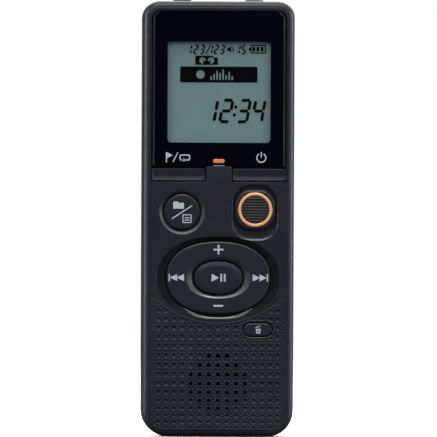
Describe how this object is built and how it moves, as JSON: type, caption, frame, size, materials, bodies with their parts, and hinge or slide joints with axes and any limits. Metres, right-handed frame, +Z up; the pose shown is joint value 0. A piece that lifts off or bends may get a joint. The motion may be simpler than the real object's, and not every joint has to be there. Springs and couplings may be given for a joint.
{
  "type": "handheld voice recorder",
  "caption": "Slim upright digital voice recorder with display window, slide record switch, four-way key ring, speaker grille and hinged battery cover.",
  "frame": {"origin": "middle of the bottom end, centred across the width and the depth", "axes": "+Z up the length of the body, +X to the right seen from the front, -Y out of the front face with the display and keys"},
  "size_m": [0.0376, 0.0174, 0.1082],
  "materials": {
    "case": "fine satin texture, charcoal",
    "case_rear": "fine satin texture, charcoal",
    "keys": "satin, charcoal",
    "window": "polished black",
    "display": "grey-green liquid crystal",
    "display_back": "pale reflector film",
    "orange": "warm orange",
    "grip": "ribbed black",
    "print": "silver-grey ink",
    "rubber": "grey silicone",
    "black_rubber": "matt",
    "board": "green solder mask",
    "chip": "moulded epoxy",
    "light_plastic": "white moulding",
    "steel": "bright steel",
    "nickel": "nickel plate",
    "gold": "gold plate",
    "collar": "moulded collar",
    "cell": "printed cell jacket",
    "cone": "paper cone",
    "cloth": "acoustic cloth",
    "label": "blank rating label"
  },
  "bodies": {
    "housing": {"front_case": "case", "rear_case": "case_rear", "display_window": "window", "window_mask": "window", "indicator_lens": "orange", "indicator_led": "light_plastic", "lcd_front_glass": "display", "lcd_rear_glass": "display", "lcd_reflector": "display_back", "lcd_holder": "light_plastic", "zebra_connector": "black_rubber", "main_board": "board", "processor_chip": "chip", "memory_chip": "chip", "board_components": "light_plastic", "switch_domes": "gold", "record_switch_body": "steel", "keypad_membrane": "rubber", "microphone_capsule": "nickel", "microphone_boot": "black_rubber", "mic_jack": "collar", "mic_jack_collar": "collar", "earphone_jack": "collar", "earphone_jack_collar": "collar", "usb_socket": "nickel", "usb_tongue": "chip", "speaker_frame": "steel", "speaker_magnet": "steel", "speaker_cone": "cone", "speaker_gasket": "black_rubber", "speaker_mesh": "cloth", "speaker_contacts": "gold", "battery_left": "cell", "battery_right": "cell", "battery_spring_left": "nickel", "battery_spring_right": "nickel", "battery_terminals": "nickel", "battery_link": "nickel", "case_screws": "steel", "board_screws": "steel", "rear_label": "label", "hinge_pin": "steel"},
    "battery_door": {"battery_cover": "case_rear"},
    "index_key": {"index_button": "keys", "index_boot": "rubber"},
    "power_key": {"power_button": "keys", "power_boot": "rubber"},
    "folder_key": {"folder_button": "keys", "folder_boot": "rubber"},
    "record_slider": {"record_knob": "keys", "record_ring": "orange", "record_grip": "grip", "record_carriage": "light_plastic", "record_switch_lever": "chip"},
    "rocker_base": {"nav_rocker": "rubber"},
    "rocker_ring": {"nav_ring": "keys"},
    "play_key": {"play_button": "keys", "play_boot": "rubber"},
    "erase_key": {"erase_button": "keys", "erase_boot": "rubber"}
  },
  "joints": [
    {"name": "battery_door_hinge", "type": "hinge", "parent": "housing", "child": "battery_door", "pos_m": [0, 0.0072, 0.005], "axis": [-1, 0, 0], "range_deg": [0, 85]},
    {"name": "index_press", "type": "slide", "parent": "housing", "child": "index_key", "axis": [0, 1, 0], "range_m": [0, 0.0004], "stiffness_N_per_m": 900},
    {"name": "power_press", "type": "slide", "parent": "housing", "child": "power_key", "axis": [0, 1, 0], "range_m": [0, 0.0004], "stiffness_N_per_m": 900},
    {"name": "folder_press", "type": "slide", "parent": "housing", "child": "folder_key", "axis": [0, 1, 0], "range_m": [0, 0.0004], "stiffness_N_per_m": 900},
    {"name": "record_slide", "type": "slide", "parent": "housing", "child": "record_slider", "axis": [0, 0, -1], "range_m": [0, 0.002]},
    {"name": "rocker_up_down", "type": "hinge", "parent": "housing", "child": "rocker_base", "pos_m": [0, -0.0071, 0.0394], "axis": [1, 0, 0], "range_deg": [-1.7, 1.7], "stiffness_Nm_per_rad": 0.5},
    {"name": "rocker_left_right", "type": "hinge", "parent": "rocker_base", "child": "rocker_ring", "pos_m": [0, -0.0071, 0.0394], "axis": [0, 0, 1], "range_deg": [-1.7, 1.7], "stiffness_Nm_per_rad": 0.5},
    {"name": "play_press", "type": "slide", "parent": "housing", "child": "play_key", "axis": [0, 1, 0], "range_m": [0, 0.0004], "stiffness_N_per_m": 900},
    {"name": "erase_press", "type": "slide", "parent": "housing", "child": "erase_key", "axis": [0, 1, 0], "range_m": [0, 0.0004], "stiffness_N_per_m": 900}
  ]
}
